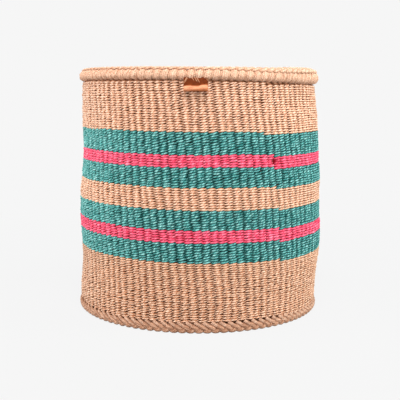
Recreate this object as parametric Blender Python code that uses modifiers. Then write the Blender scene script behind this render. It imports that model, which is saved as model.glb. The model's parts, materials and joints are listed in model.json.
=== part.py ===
"""A round kiondo basket: sisal weft twined in coloured bands, a rolled rim, a braided foot and a leather loop.

The basket stands on z = 0 with its axis on Z. The leather loop hangs at the front, towards -Y.
"""

from math import acos, asin, atan2, ceil, cos, hypot, pi, radians, sin

import bmesh
import bpy
from mathutils import Matrix, Vector

# The whole basket: its height, and its radius where it is widest
basket_height = 0.2000
belly_radius = 0.1047

# The wall is rows of weft, pressed down on upright warps that each raise a rib.
# It draws in from the belly to the foot and to the mouth, and its ribs turn a little on their way up.
wall_thickness = 0.0055
foot_draw_in = 0.0018
mouth_draw_in = 0.0049
belly_height_share = 0.47
rib_count = 100
rib_relief = 0.0016
rib_turn = radians(8.5)
row_fall = 0.0015
rows_between_bends = 13

# Each band is one pair of weft strands, from the foot up: its name, its yarn and its rows
weft_bands = (
    ("lower_natural_weft", "natural", 25),
    ("teal_weft_1", "teal", 8),
    ("pink_weft_1", "pink", 5),
    ("teal_weft_2", "teal", 8),
    ("middle_natural_weft", "natural", 9),
    ("teal_weft_3", "teal", 8),
    ("pink_weft_2", "pink", 5),
    ("teal_weft_4", "teal", 9),
    ("upper_natural_weft", "natural", 20),
)

# The foot is a thick braid round the corner, and the base lies on its ledge
foot_height = 0.0076
foot_proud = 0.0007
foot_width = 0.0085
foot_ledge_width = 0.0025
foot_corner_radius = 0.0030
foot_shoulder_radius = 0.0018
base_raise = 0.0020
base_thickness = 0.0055
base_crown = 0.0012
base_edge_radius = 0.0015

# The rim is the turned-in warp ends, wrapped into a roll with a plait along its crest
rim_roll_width = 0.0098
rim_roll_height = 0.0086
rim_roll_proud = 0.0025
rim_wrap_thickness = 0.0021
warp_neck_width = 0.0020
plait_width = 0.0052
plait_rise = 0.0015

# The tab is a leather strip doubled into a loop, its two ends sewn under the rim
leather_thickness = 0.0011
tab_width = 0.0177
tab_offset = 0.0025
tab_sewn_height = 0.0030
tab_loop_drop = 0.0050
tab_fold_radius = 0.0020
tab_lean = radians(14)
tab_edge_radius = 0.0003
loop_web = 0.0006
thread_radius = 0.0003
thread_side_margin = 0.0012
thread_top_margin = 0.0007
thread_bottom_margin = 0.0013
thread_bites = 4

# Clearances and the fineness of the round pieces
fit_gap = 0.0003
weld_distance = 0.000001
inner_facet_count = 36
ring_facet_count = 48

# Colour, roughness of each material
finishes = {
    "natural": ((0.62, 0.36, 0.22), 0.85),
    "teal": ((0.09, 0.25, 0.23), 0.85),
    "pink": ((0.70, 0.12, 0.18), 0.85),
    "warp": ((0.58, 0.36, 0.22), 0.85),
    "leather": ((0.62, 0.29, 0.15), 0.55),
    "thread": ((0.75, 0.52, 0.36), 0.80),
}

# Places worked out from the sizes above
wall_foot_radius = belly_radius - foot_draw_in
mouth_radius = belly_radius - mouth_draw_in
foot_radius = wall_foot_radius + foot_proud
wall_top = basket_height - plait_rise - fit_gap - rim_roll_height - fit_gap / 2
wall_height = wall_top - foot_height
row_height = wall_height / sum(rows for _, _, rows in weft_bands)
roll_centre_radius = mouth_radius + rim_roll_proud - rim_roll_width / 2
roll_centre_height = wall_top + fit_gap / 2 + rim_roll_height / 2
tab_back_radius = mouth_radius + fit_gap
tab_front_radius = tab_back_radius + 2 * leather_thickness
tab_axis_height = wall_top - tab_sewn_height


def clear_scene():
    for old in list(bpy.data.objects):
        bpy.data.objects.remove(old, do_unlink=True)


def new_collection(name):
    collection = bpy.data.collections.new(name)
    bpy.context.scene.collection.children.link(collection)
    return collection


def finish(name):
    """The material of this name, made the first time it is asked for."""
    if name in bpy.data.materials:
        return bpy.data.materials[name]
    colour, roughness = finishes[name]
    material = bpy.data.materials.new(name)
    material.use_nodes = True
    shader = material.node_tree.nodes["Principled BSDF"]
    shader.inputs["Base Color"].default_value = (*colour, 1)
    shader.inputs["Roughness"].default_value = roughness
    shader.inputs["Metallic"].default_value = 0
    material.diffuse_color = (*colour, 1)
    return material


def place(obj, material_name):
    """Puts an object in the basket's collection with a material of its own."""
    material = finish(material_name).copy()
    material.name = f"{obj.name}_{material_name}"
    obj.data.materials.clear()
    obj.data.materials.append(material)
    for collection in list(obj.users_collection):
        collection.objects.unlink(obj)
    basket.objects.link(obj)
    return obj


def outline_curve(name, loops, thickness):
    """A flat 2D curve of closed loops, filled and extruded to a thickness."""
    curve = bpy.data.curves.new(name, "CURVE")
    curve.dimensions = "2D"
    curve.fill_mode = "BOTH"
    curve.extrude = thickness / 2
    for loop in loops:
        spline = curve.splines.new("POLY")
        spline.points.add(len(loop) - 1)
        for point, (x, y) in zip(spline.points, loop):
            point.co = (x, y, 0, 1)
        spline.use_cyclic_u = True
    obj = bpy.data.objects.new(name, curve)
    bpy.context.scene.collection.objects.link(obj)
    return obj


def mesh_from(obj):
    """Swaps a curve object for a mesh object of the same shape, with its caps welded on."""
    bpy.context.view_layer.update()
    graph = bpy.context.evaluated_depsgraph_get()
    mesh = bpy.data.meshes.new_from_object(obj.evaluated_get(graph))
    name = obj.name
    matrix = obj.matrix_world.copy()
    bpy.data.objects.remove(obj, do_unlink=True)
    shape = bmesh.new()
    shape.from_mesh(mesh)
    bmesh.ops.remove_doubles(shape, verts=shape.verts, dist=weld_distance)
    shape.to_mesh(mesh)
    shape.free()
    solid = bpy.data.objects.new(name, mesh)
    solid.matrix_world = matrix
    bpy.context.scene.collection.objects.link(solid)
    return solid


def smooth(obj):
    obj.data.shade_smooth()
    obj.data.set_sharp_from_angle(angle=radians(35))


def turned(name, profile, material_name, closed):
    """A ring or disc turned round Z from a profile of (radius, height) points."""
    mesh = bpy.data.meshes.new(name)
    count = len(profile)
    edges = [(i, (i + 1) % count) for i in range(count if closed else count - 1)]
    mesh.from_pydata([(radius, 0, height) for radius, height in profile], edges, [])
    obj = bpy.data.objects.new(name, mesh)
    screw = obj.modifiers.new("turn", "SCREW")
    screw.axis = "Z"
    screw.steps = ring_facet_count
    screw.render_steps = ring_facet_count
    screw.use_merge_vertices = True
    screw.merge_threshold = weld_distance
    screw.use_smooth_shade = True
    return place(obj, material_name)


def arc(centre, radii, start, end, steps):
    """Points along an arc of an ellipse. Angles run from +radius towards +height."""
    points = []
    for i in range(steps + 1):
        angle = start + (end - start) * i / steps
        points.append((centre[0] + radii[0] * cos(angle), centre[1] + radii[1] * sin(angle)))
    return points


def ease(share):
    return (1 - cos(pi * share)) / 2


def wall_radius(height):
    """The wall's outer radius: it swells gently from the foot to the belly and draws in to the mouth."""
    share = (height - foot_height) / wall_height
    if share < belly_height_share:
        return wall_foot_radius + (belly_radius - wall_foot_radius) * ease(share / belly_height_share)
    above = (share - belly_height_share) / (1 - belly_height_share)
    return belly_radius + (mouth_radius - belly_radius) * ease(min(above, 1))


def ribbed_loop(radius):
    """One crest and one valley for each warp. A rib's crest faces the front."""
    loop = []
    for i in range(2 * rib_count):
        angle = -pi / 2 + pi * i / rib_count
        reach = radius - rib_relief * (i % 2)
        loop.append((reach * cos(angle), reach * sin(angle)))
    return loop


def plain_loop(radius):
    turn = 2 * pi / inner_facet_count
    return [(radius * cos(turn * i), radius * sin(turn * i)) for i in range(inner_facet_count)]


def weft_band(name, yarn, rows, bottom, bottom_fall, top_fall):
    """A ribbed ring of weft that follows the wall's swell and turn. Its edges fall towards +X."""
    height = rows * row_height - fit_gap
    loops = (ribbed_loop(belly_radius), plain_loop(belly_radius - wall_thickness))
    band = mesh_from(outline_curve(name, loops, height))
    shape = bmesh.new()
    shape.from_mesh(band.data)
    bends = ceil(rows / rows_between_bends)
    for i in range(1, bends):
        everything = [*shape.verts, *shape.edges, *shape.faces]
        level = Vector((0, 0, height * (i / bends - 1 / 2)))
        bmesh.ops.bisect_plane(shape, geom=everything, plane_co=level, plane_no=Vector((0, 0, 1)))
    for vert in shape.verts:
        share = vert.co.z / height + 1 / 2
        level = bottom + fit_gap / 2 + height * share
        fall = bottom_fall + (top_fall - bottom_fall) * share
        reach = vert.co.to_2d().length + wall_radius(level) - belly_radius
        angle = atan2(vert.co.y, vert.co.x) + rib_turn * (wall_top - level) / wall_height
        vert.co = Vector((reach * cos(angle), reach * sin(angle), level - fall * cos(angle)))
    shape.to_mesh(band.data)
    shape.free()
    smooth(band)
    return place(band, yarn)


def wall():
    """The nine bands of weft, each standing on the one below. Only the lowest and highest edges are level."""
    bottom = foot_height
    last = len(weft_bands) - 1
    for i, (name, yarn, rows) in enumerate(weft_bands):
        bottom_fall = row_fall if i > 0 else 0
        top_fall = row_fall if i < last else 0
        weft_band(name, yarn, rows, bottom, bottom_fall, top_fall)
        bottom += rows * row_height


def foot():
    """The foot braid: round outside, flat below, with a ledge inside that carries the base."""
    inner = foot_radius - foot_width
    top = foot_height - fit_gap / 2
    ledge = base_raise - fit_gap
    shoulder = (foot_radius - foot_shoulder_radius, top - foot_shoulder_radius)
    corner = (foot_radius - foot_corner_radius, foot_corner_radius)
    profile = [(inner, top)]
    profile += arc(shoulder, (foot_shoulder_radius,) * 2, pi / 2, 0, 2)
    profile += arc(corner, (foot_corner_radius,) * 2, 0, -pi / 2, 3)
    profile += [(inner - foot_ledge_width, 0), (inner - foot_ledge_width, ledge), (inner, ledge)]
    turned("foot_braid", profile, "natural", True)


def base():
    """The woven disc that closes the bottom, a little higher at its middle."""
    edge = foot_radius - foot_width - fit_gap
    top = base_raise + base_thickness
    middle = edge / 2
    profile = [(0, top + base_crown), (middle, top + base_crown * 3 / 4)]
    profile += arc((edge - base_edge_radius, top - base_edge_radius), (base_edge_radius,) * 2, pi / 2, 0, 2)
    profile += [(edge, base_raise), (middle, base_raise + base_crown * 3 / 4), (0, base_raise + base_crown)]
    turned("base_weave", profile, "natural", False)


def around_roll(inset, gap_width, steps):
    """Points round the roll's oval at an inset, from the inner lip of a gap at its bottom to the outer lip."""
    across = rim_roll_width / 2 - inset
    up = rim_roll_height / 2 - inset
    start = asin(gap_width / 2 / across)
    centre = (roll_centre_radius, roll_centre_height)
    return arc(centre, (across, up), -pi / 2 - start, -5 * pi / 2 + start, steps)


def rim():
    """The roll: a wrap that is open below, where the warps rise into the core inside it, and a plait on top."""
    opening = warp_neck_width + 2 * fit_gap
    outside = around_roll(0, opening, 10)
    inside = around_roll(rim_wrap_thickness, opening, 6)
    turned("rim_wrap", outside + inside[::-1], "natural", True)

    core = around_roll(rim_wrap_thickness + fit_gap, warp_neck_width, 6)
    neck_bottom = wall_top + fit_gap / 2
    half_neck = warp_neck_width / 2
    neck = [(roll_centre_radius + half_neck, neck_bottom), (roll_centre_radius - half_neck, neck_bottom)]
    turned("rim_warp_core", core + neck, "warp", True)

    across = rim_roll_width / 2 + fit_gap
    up = rim_roll_height / 2 + fit_gap
    half_plait = plait_width / 2
    spread = asin(half_plait / across)
    centre = (roll_centre_radius, roll_centre_height)
    seat = arc(centre, (across, up), pi / 2 - spread, pi / 2 + spread, 2)
    edge_height = seat[0][1]
    crest_rise = roll_centre_height + up + plait_rise - edge_height
    crest = arc((roll_centre_radius, edge_height), (half_plait, crest_rise), pi, 0, 6)
    turned("rim_plait", seat + crest[1:-1], "natural", True)


def tangent_angle(centre, radius, point):
    """Where a line from a point above a circle touches its outward side."""
    away = (point[0] - centre[0], point[1] - centre[1])
    return atan2(away[1], away[0]) - acos(radius / hypot(*away))


def tab_sewn_end():
    """The two ends of the strip, pressed together flat on the wall under the rim."""
    size = (tab_width, 2 * leather_thickness, tab_sewn_height - fit_gap / 2)
    height = tab_axis_height + fit_gap / 2 + size[2] / 2
    bpy.ops.mesh.primitive_cube_add(size=1, location=(-tab_offset, -tab_back_radius - leather_thickness, height))
    end = bpy.context.object
    end.name = "tab_sewn_end"
    end.data.transform(Matrix.Diagonal((*size, 1)))
    bevel = end.modifiers.new("edges", "BEVEL")
    bevel.width = tab_edge_radius
    bevel.segments = 2
    place(end, "leather")


def tab_loop():
    """The free loop, whose axis is the front lower edge of the sewn end. At rest it leans out a little."""
    doubled = 2 * leather_thickness
    centre = (tab_fold_radius - doubled, tab_fold_radius - tab_loop_drop)
    front = (0, -fit_gap / 2)
    touch = tangent_angle(centre, tab_fold_radius, front)
    outside = [front] + arc(centre, (tab_fold_radius,) * 2, touch, -pi, 8) + [(-doubled, -fit_gap / 2)]

    apex = (-leather_thickness, -fit_gap / 2 - loop_web)
    slit_radius = tab_fold_radius - leather_thickness
    touch = tangent_angle(centre, slit_radius, apex)
    slit = [apex] + arc(centre, (slit_radius,) * 2, touch, -pi, 6)

    pivot = bpy.data.objects.new("tab_pivot", None)
    pivot.location = (-tab_offset, -tab_front_radius, tab_axis_height)
    pivot.rotation_euler = (-tab_lean, 0, 0)
    basket.objects.link(pivot)
    loop = mesh_from(outline_curve("tab_loop", (outside, slit), tab_width))
    loop.parent = pivot
    loop.matrix_basis = Matrix(((0, 0, -1), (-1, 0, 0), (0, 1, 0))).to_4x4()
    smooth(loop)
    place(loop, "leather")


def tab_thread():
    """One thread in zigzag stitches across the face of the sewn end."""
    side = tab_width / 2 - thread_side_margin
    low = tab_axis_height + thread_bottom_margin
    high = wall_top - thread_top_margin
    face = -tab_front_radius - fit_gap - thread_radius
    curve = bpy.data.curves.new("tab_thread", "CURVE")
    curve.dimensions = "3D"
    curve.bevel_depth = thread_radius
    curve.bevel_resolution = 2
    curve.use_fill_caps = True
    spline = curve.splines.new("POLY")
    spline.points.add(thread_bites)
    for i, point in enumerate(spline.points):
        along = side * (2 * i / thread_bites - 1)
        point.co = (along - tab_offset, face, high if i % 2 else low, 1)
    thread = bpy.data.objects.new("tab_thread", curve)
    place(thread, "thread")


clear_scene()
basket = new_collection("kiondo_basket")
base()
foot()
wall()
rim()
tab_sewn_end()
tab_loop()
tab_thread()
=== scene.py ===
"""The kiondo basket as it looks: twined sisal weft on hidden warps, a wrapped and plaited rim,
a plaited foot and a small leather tab. Every strand is a modelled tube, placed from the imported
model's nodes.
"""

import json
from math import cos, pi, radians, sin, sqrt

import bpy
import numpy as np
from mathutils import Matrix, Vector

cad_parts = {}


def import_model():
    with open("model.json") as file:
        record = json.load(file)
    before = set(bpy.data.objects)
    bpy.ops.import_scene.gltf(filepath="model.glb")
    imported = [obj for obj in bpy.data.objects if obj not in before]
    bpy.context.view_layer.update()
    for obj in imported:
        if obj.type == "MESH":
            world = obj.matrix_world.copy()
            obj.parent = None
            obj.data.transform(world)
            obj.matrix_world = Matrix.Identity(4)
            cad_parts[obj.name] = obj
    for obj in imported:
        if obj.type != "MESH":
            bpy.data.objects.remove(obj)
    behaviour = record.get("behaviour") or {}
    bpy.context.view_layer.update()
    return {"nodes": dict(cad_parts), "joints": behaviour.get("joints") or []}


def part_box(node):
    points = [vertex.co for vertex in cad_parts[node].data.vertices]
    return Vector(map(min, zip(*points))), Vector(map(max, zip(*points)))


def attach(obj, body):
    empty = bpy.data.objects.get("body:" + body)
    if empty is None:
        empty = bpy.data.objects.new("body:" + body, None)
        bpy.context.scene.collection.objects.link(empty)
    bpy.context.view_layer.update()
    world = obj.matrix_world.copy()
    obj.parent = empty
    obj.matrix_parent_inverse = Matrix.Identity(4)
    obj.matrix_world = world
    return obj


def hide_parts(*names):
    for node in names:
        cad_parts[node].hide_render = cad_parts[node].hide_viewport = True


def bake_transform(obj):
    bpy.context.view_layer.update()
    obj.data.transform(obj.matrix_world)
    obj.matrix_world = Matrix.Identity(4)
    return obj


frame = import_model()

MM = 0.001
UP = (0.0, 0.0, 1.0)
WHITE = (1, 1, 1)
rng = np.random.default_rng(7)

# The wall: its bands from the foot up, each with its yarn and its number of rows
BANDS = (
    ("lower_natural_weft", "shaded_natural", 25),
    ("teal_weft_1", "teal", 8),
    ("pink_weft_1", "pink", 5),
    ("teal_weft_2", "teal", 8),
    ("middle_natural_weft", "natural", 9),
    ("teal_weft_3", "teal", 8),
    ("pink_weft_2", "pink", 5),
    ("teal_weft_4", "teal", 9),
    ("upper_natural_weft", "natural", 20),
)
WARP_COUNT = 100
ROW_COUNT = sum(rows for _, _, rows in BANDS)
RIB_TURN = radians(8.5)
RIB_TURN_BEND = 1.35
WALL_THICKNESS = 5.5 * MM
BELLY_HEIGHT_SHARE = 0.47

# The rows climb in a spiral. The colours change where it passes this warp, right of the front,
# and the highest one a warp earlier.
SEAM_WARP = 8.5
TOP_SEAM_WARP = 7.5

# The first row's middle and the room that the last one leaves, in rows
FIRST_ROW_MIDDLE = 0.5
LAST_ROW_ROOM = 0.55

# How the rows lie: higher at the left than at the right, higher at both sides, sunk at the seam
ROW_FALL = 0.9 * MM
SIDE_RISE = 1.3 * MM
SIDE_RISE_POWER = 1.4
SEAM_DIP = 0.55 * MM
SEAM_DIP_WIDTH = radians(11)

# Hand-shaped sides: how far each side stands out from the round, in mm, at heights in mm
LEFT_SIDE = (
    (0, 0.2), (8, 1.0), (16, 1.6), (24, 0.7), (32, -0.3), (44, -1.6), (60, -1.6), (70, -0.9),
    (100, -1.1), (110, -2.4), (120, -3.2), (134, -3.1), (144, -1.9), (155, -0.7), (178, -0.6),
    (200, -1.1),
)
RIGHT_SIDE = (
    (0, -0.8), (8, -2.2), (24, -1.6), (34, -0.6), (45, 0.6), (60, 1.0), (72, 0.9), (82, -0.3),
    (100, -0.8), (110, 0.3), (125, 0.1), (140, 0.7), (150, 1.1), (160, 1.1), (172, -0.2),
    (190, -1.2), (200, -0.5),
)

# The rows lie a little low here, above the foot
ROW_SAG = 0.95 * MM
ROW_SAG_HEIGHT = 54 * MM
ROW_SAG_WIDTH = 20 * MM

# A pucker at the seam in the upper pink stripe, with its reach in rows and in warps, and the painted
# shade in its hollow
PUCKER_DEPTH = 2.2 * MM
PUCKER_ROW = 65.3
PUCKER_ROWS = 1.2
PUCKER_WARPS = 0.6
PUCKER_SHADE = 1.2

# The wall reaches down this far over the foot: all round, and more at both sides
FRONT_DROP = 1.1 * MM
SIDE_DROP = 1.6 * MM

# A weft strand: half its depth over a warp and where it crosses its partner, and its breadth in
# both places as a share of a row
STRAND_HALF_DEPTH = 1.05 * MM
CROSSING_HALF_DEPTH = 1.0 * MM
BREADTH_SHARE = 1.08
CROSSING_BREADTH_SHARE = {"natural": 0.45, "shaded_natural": 0.45, "teal": 0.8, "pink": 0.6}

# How far a stitch rises and falls, as a share of a row: above the foot, and from mid-height up
FOOT_RISE_SHARE = 0.32
STITCH_RISE_SHARE = {"natural": 0.28, "shaded_natural": 0.3, "teal": 0.37, "pink": 0.28}
FOOT_RISE_REACH = 0.5

# How square a stitch goes out over its warp, and the points along and round a strand
STITCH_FULLNESS = 1.7
POINTS_PER_WARP = 6
STRAND_SIDES = 6
THICK_SIDES = 8

# Painted shade on a weft strand where it lies deep: its edges over a warp, the edge by the gap
# to the next row where it crosses its partner, and all of it in the groove between two ribs
EDGE_SHADE = {"natural": 0.47, "shaded_natural": 0.52, "teal": 1.0, "pink": 0.7}
GAP_SHADE = 3.0
GROOVE_SHADE = {"natural": 0.3, "shaded_natural": 0.2, "teal": 1.8, "pink": 0.7}
GROOVE_START = 1.3
GROOVE_FALL = 1.5

# Less painted shade on the weave at the left
LEFT_SHADE_CUT = 0.8


def vertices_of(node):
    mesh = frame["nodes"][node].data
    flat = np.empty(3 * len(mesh.vertices))
    mesh.vertices.foreach_get("co", flat)
    return flat.reshape(-1, 3)


def distances(points):
    """How far points lie from the basket's axis."""
    return np.hypot(points[:, 0], points[:, 1])


def end_radius(node, top):
    """The radius of a node's level end ring, its top or its bottom one."""
    points = vertices_of(node)
    edge = points[:, 2].max() if top else points[:, 2].min()
    return float(distances(points[abs(points[:, 2] - edge) < 0.05 * MM]).max())


# The wall's sizes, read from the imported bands
WALL_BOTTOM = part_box("lower_natural_weft")[0].z
WALL_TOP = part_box("upper_natural_weft")[1].z
WALL_HEIGHT = WALL_TOP - WALL_BOTTOM
ROW_HEIGHT = WALL_HEIGHT / ROW_COUNT
FOOT_RADIUS = end_radius("lower_natural_weft", False)
MOUTH_RADIUS = end_radius("upper_natural_weft", True)
BELLY_RADIUS = max(float(distances(vertices_of(name)).max()) for name, _, _ in BANDS)


def height_share(height):
    return (height - WALL_BOTTOM) / WALL_HEIGHT


def ease(share):
    return (1 - np.cos(pi * np.clip(share, 0, 1))) / 2


def swell(angle, size, middle, width):
    """A smooth swelling that is greatest at the middle angle."""
    apart = (angle - middle + pi) % (2 * pi) - pi
    return size * np.exp(-((apart / width) ** 2))


def wall_radius(height):
    """The wall's outer radius, which swells from foot to belly and draws in to the mouth."""
    share = height_share(height)
    below = FOOT_RADIUS + (BELLY_RADIUS - FOOT_RADIUS) * ease(share / BELLY_HEIGHT_SHARE)
    above = ease((share - BELLY_HEIGHT_SHARE) / (1 - BELLY_HEIGHT_SHARE))
    return below + (MOUTH_RADIUS - BELLY_RADIUS) * above


def front_angle(warp):
    """The angle of a warp at the mouth, measured from the front towards +X."""
    return 2 * pi * warp / WARP_COUNT


def rib_lean(height):
    """How far the ribs have turned towards +X from the mouth down to a height."""
    return RIB_TURN * (1 - np.clip(height_share(height), 0, 1) ** RIB_TURN_BEND)


def row_shift(angle):
    """How far the rows stand above their level at an angle from the front."""
    dip = swell(angle, SEAM_DIP, front_angle(SEAM_WARP), SEAM_DIP_WIDTH)
    return SIDE_RISE * abs(np.sin(angle)) ** SIDE_RISE_POWER - ROW_FALL * np.sin(angle) - dip


def leftness(angle):
    """1 at the left side, 0 from the front round to the back by the right side."""
    return np.clip(-np.sin(angle), 0, 1)


def side_reach(angle, height):
    """How far the hand-shaped sides stand out from the round, here."""
    reach = 0
    for side, table in ((-1, LEFT_SIDE), (1, RIGHT_SIDE)):
        levels, offsets = (np.array(column) * MM for column in zip(*table))
        share = np.clip(side * np.sin(angle), 0, 1) ** 2
        reach = reach + np.interp(height, levels, offsets) * share
    return reach


def shift_share(height):
    """The rows lie level on the foot and take their full shift by the lowest stripe."""
    return np.clip((height - WALL_BOTTOM) / (BANDS[0][2] * ROW_HEIGHT), 0, 1)


def foot_drop(angle):
    """How far the wall's rows reach down over the plait, which is narrower at the sides."""
    return FRONT_DROP + SIDE_DROP * np.sin(angle) ** 2


def around(radius, angle, height):
    """Points at an angle from the front, which faces -Y."""
    return np.stack([radius * np.sin(angle), -radius * np.cos(angle), height + 0 * angle], axis=-1)


class Drift:
    """A smooth random wandering over the wall, cyclic round it."""

    def __init__(self, round_count, up_count, size):
        self.table = rng.normal(size=(round_count, up_count)) * size

    def at(self, warp, height):
        count, levels = self.table.shape
        across = (warp / WARP_COUNT * count) % count
        up = np.clip(height_share(height), 0, 1) * (levels - 1)
        i = np.floor(across).astype(int) % count
        j = np.minimum(np.floor(up).astype(int), levels - 2)
        x = across - np.floor(across)
        y = up - j
        x = x * x * (3 - 2 * x)
        y = y * y * (3 - 2 * y)
        after = (i + 1) % count
        near = self.table[i, j] * (1 - y) + self.table[i, j + 1] * y
        far = self.table[after, j] * (1 - y) + self.table[after, j + 1] * y
        return near * (1 - x) + far * x


# Each wandering's points round and up the wall, and its size
dents = Drift(11, 5, 0.35 * MM)
rib_reach = Drift(WARP_COUNT, 14, 0.18 * MM)
rib_wander = Drift(WARP_COUNT, 12, 0.07)
row_wander = Drift(23, 12, 0.16 * MM)
stitch_reach = Drift(WARP_COUNT, ROW_COUNT + 1, 0.17 * MM)
stitch_size = Drift(WARP_COUNT, ROW_COUNT + 1, 0.10)
stitch_tilt = Drift(WARP_COUNT, ROW_COUNT + 1, 0.35)
stitch_level = Drift(WARP_COUNT, ROW_COUNT + 1, 0.13 * MM)
stitch_side = Drift(WARP_COUNT, ROW_COUNT + 1, 0.12)


def pucker_share(warp, height):
    """How much of the seam's pucker reaches here, from 0 to 1."""
    half_round = WARP_COUNT / 2
    across = ((warp - SEAM_WARP + half_round) % WARP_COUNT - half_round) / PUCKER_WARPS
    up = ((height - WALL_BOTTOM) / ROW_HEIGHT - PUCKER_ROW) / PUCKER_ROWS
    return np.exp(-(across**2) - up**2)


def wall_reach(warp, height):
    """How far the wall stands out from its smooth shape: dents, uneven ribs and the pucker."""
    uneven = dents.at(warp, height) + rib_reach.at(warp, height)
    return uneven - PUCKER_DEPTH * pucker_share(warp, height)


# Strands

# The length of one turn of the fibres, the range of their random starts, and the margins of the map
# for baking, at its sides and in each strip
STRAND_LAY = 7 * MM
FIBRE_START_RANGE = 50
MAP_MARGIN = 0.002
STRIP_MARGIN = 0.08


def unit(vectors):
    return vectors / np.linalg.norm(vectors, axis=1, keepdims=True)


def lengths_along(points):
    steps = np.linalg.norm(np.diff(points, axis=0), axis=1)
    return np.concatenate([[0], np.cumsum(steps)])


def ring_turn(sides=STRAND_SIDES):
    """The angles of a strand's vertices round its middle, from its breadth's direction."""
    return 2 * pi * (np.arange(sides) + 0.5) / sides


def strand_shade(sunk, edge, sides=STRAND_SIDES):
    """The painted shade where a strand's surface lies deep: sunk, point by point, and edge at its
    two edges.
    """
    return np.maximum(np.reshape(sunk, (-1, 1)), edge * np.cos(ring_turn(sides)) ** 2)


def ahead_on_ring(points):
    """The direction of a closed line at its points."""
    return np.roll(points, -1, 0) - np.roll(points, 1, 0)


def tube(
    points, across, half_breadth, half_depth, painted_shade,
    sides=STRAND_SIDES, closed=False, lay=STRAND_LAY,
):
    """One strand along points. Its breadth lies along across, and its fibres turn once in each lay.

    The painted shade, from 0 to 1, is how dark each vertex is tinted where it lies deep between its
    neighbours.
    """
    count = len(points)
    ahead = ahead_on_ring(points)
    if not closed:
        ahead[0] = points[1] - points[0]
        ahead[-1] = points[-1] - points[-2]
    ahead = unit(ahead)
    deep = unit(np.cross(ahead, across))
    broad = np.cross(deep, ahead)
    along = lengths_along(points)
    turn = ring_turn(sides)
    half_breadth = np.broadcast_to(half_breadth, count)[:, None, None] / abs(np.cos(turn)).max()
    half_depth = np.broadcast_to(half_depth, count)[:, None, None] / abs(np.sin(turn)).max()
    ring = np.cos(turn)[None, :, None] * broad[:, None] * half_breadth
    ring = ring + np.sin(turn)[None, :, None] * deep[:, None] * half_depth
    twist = turn[None, :] + 2 * pi * along[:, None] / lay
    girth = float(np.mean(half_breadth) + np.mean(half_depth)) / 2
    start = rng.uniform(0, FIBRE_START_RANGE)
    fibre = [girth * np.cos(twist), girth * np.sin(twist), along[:, None] + start + 0 * twist]
    return {
        "points": points[:, None] + ring,
        "depth": np.broadcast_to(painted_shade, (count, sides)),
        "fibre": np.stack(fibre, axis=-1),
        "closed": closed,
        "length": float(along[-1]),
        "girth": 2 * pi * girth,
    }


def bake_map(mesh, counts, sides, length, girth):
    """Lays the strands' faces out in strips, for the maps that are baked on them."""
    strips = max(1, round(sqrt(length / girth)))
    total = sum(counts)
    per_strip = -(-total // strips)
    strips = -(-total // per_strip)
    step = np.repeat(np.arange(total), sides)
    side = np.tile(np.arange(sides), total)
    u = (step % per_strip)[:, None] + np.array([0, 0, 1, 1])
    v = side[:, None] + np.array([0, 1, 1, 0])
    v = STRIP_MARGIN + (1 - 2 * STRIP_MARGIN) * v / sides
    corners = np.empty((total * sides, 4, 2))
    corners[..., 0] = MAP_MARGIN + (1 - 2 * MAP_MARGIN) * u / per_strip
    corners[..., 1] = ((step // per_strip)[:, None] + v) / strips
    caps = len(mesh.loops) - total * sides * 4
    flat = np.concatenate([corners.reshape(-1), np.tile(corners[-1, -1], caps)])
    mesh.uv_layers.new(name="OFBake").data.foreach_set("uv", flat.astype(np.float32))


def add_object(name, data):
    thing = bpy.data.objects.new(name, data)
    bpy.context.scene.collection.objects.link(thing)
    return thing


def add_attribute(mesh, name, values):
    """Gives each vertex a number, or a vector where the grid of values is three deep."""
    kind, field = ("FLOAT_VECTOR", "vector") if values.ndim == 3 else ("FLOAT", "value")
    data = mesh.attributes.new(name, kind, "POINT").data
    data.foreach_set(field, values.reshape(-1).astype(np.float32))


def strand_piece(name, tubes, yarn, replaced):
    """One mesh of closed tubes, with its fibres' coordinates and its map for baking."""
    sides = tubes[0]["points"].shape[1]
    faces = []
    caps = []
    counts = []
    first = 0
    for strand in tubes:
        count = len(strand["points"])
        segments = count if strand["closed"] else count - 1
        i = np.arange(segments)[:, None]
        j = np.arange(sides)[None, :]
        here = first + i * sides
        there = first + (i + 1) % count * sides
        after = (j + 1) % sides
        quad = [there + j, there + after, here + after, here + j]
        faces.append(np.stack(quad, axis=-1).reshape(-1, 4))
        if not strand["closed"]:
            caps.append(first + np.arange(sides))
            caps.append(first + (count - 1) * sides + np.arange(sides)[::-1])
        counts.append(segments)
        first += count * sides
    faces = np.concatenate(faces)
    corners = np.concatenate([faces.reshape(-1), *caps])
    cap_starts = 4 * len(faces) + sides * np.arange(len(caps))
    starts = np.concatenate([4 * np.arange(len(faces)), cap_starts])
    points, fibre, depth = (
        np.concatenate([strand[key] for strand in tubes]) for key in ("points", "fibre", "depth")
    )

    mesh = bpy.data.meshes.new(name)
    mesh.vertices.add(len(points) * sides)
    mesh.vertices.foreach_set("co", points.reshape(-1).astype(np.float32))
    mesh.loops.add(len(corners))
    mesh.loops.foreach_set("vertex_index", corners.astype(np.int32))
    mesh.polygons.add(len(starts))
    mesh.polygons.foreach_set("loop_start", starts.astype(np.int32))
    mesh.update(calc_edges=True)
    mesh.shade_smooth()
    add_attribute(mesh, "fibre", fibre)
    # The depth attribute carries each vertex's painted shade
    add_attribute(mesh, "depth", depth)
    bake_map(mesh, counts, sides, sum(s["length"] for s in tubes), tubes[0]["girth"])
    mesh.materials.append(YARNS[yarn])
    piece = add_object(name, mesh)
    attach(piece, "basket")
    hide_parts(replaced)


# Materials

# The noise in sisal and leather: its scales per metre, its detail and its roughness
STREAKS = ((2600, 2600, 260), 3.0, 0.6)
PATCHES = ((260, 260, 130), 2.0, 0.5)
HAIRS = ((3400, 3400, 180), 1.0, 0.5)
CLOUD = ((260, 520, 520), 3.0, 0.6)
GRAIN = ((3000, 3000, 3000), 3.0, 0.6)
CREASES = ((180, 1500, 800), 2.0, 0.5)
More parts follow.
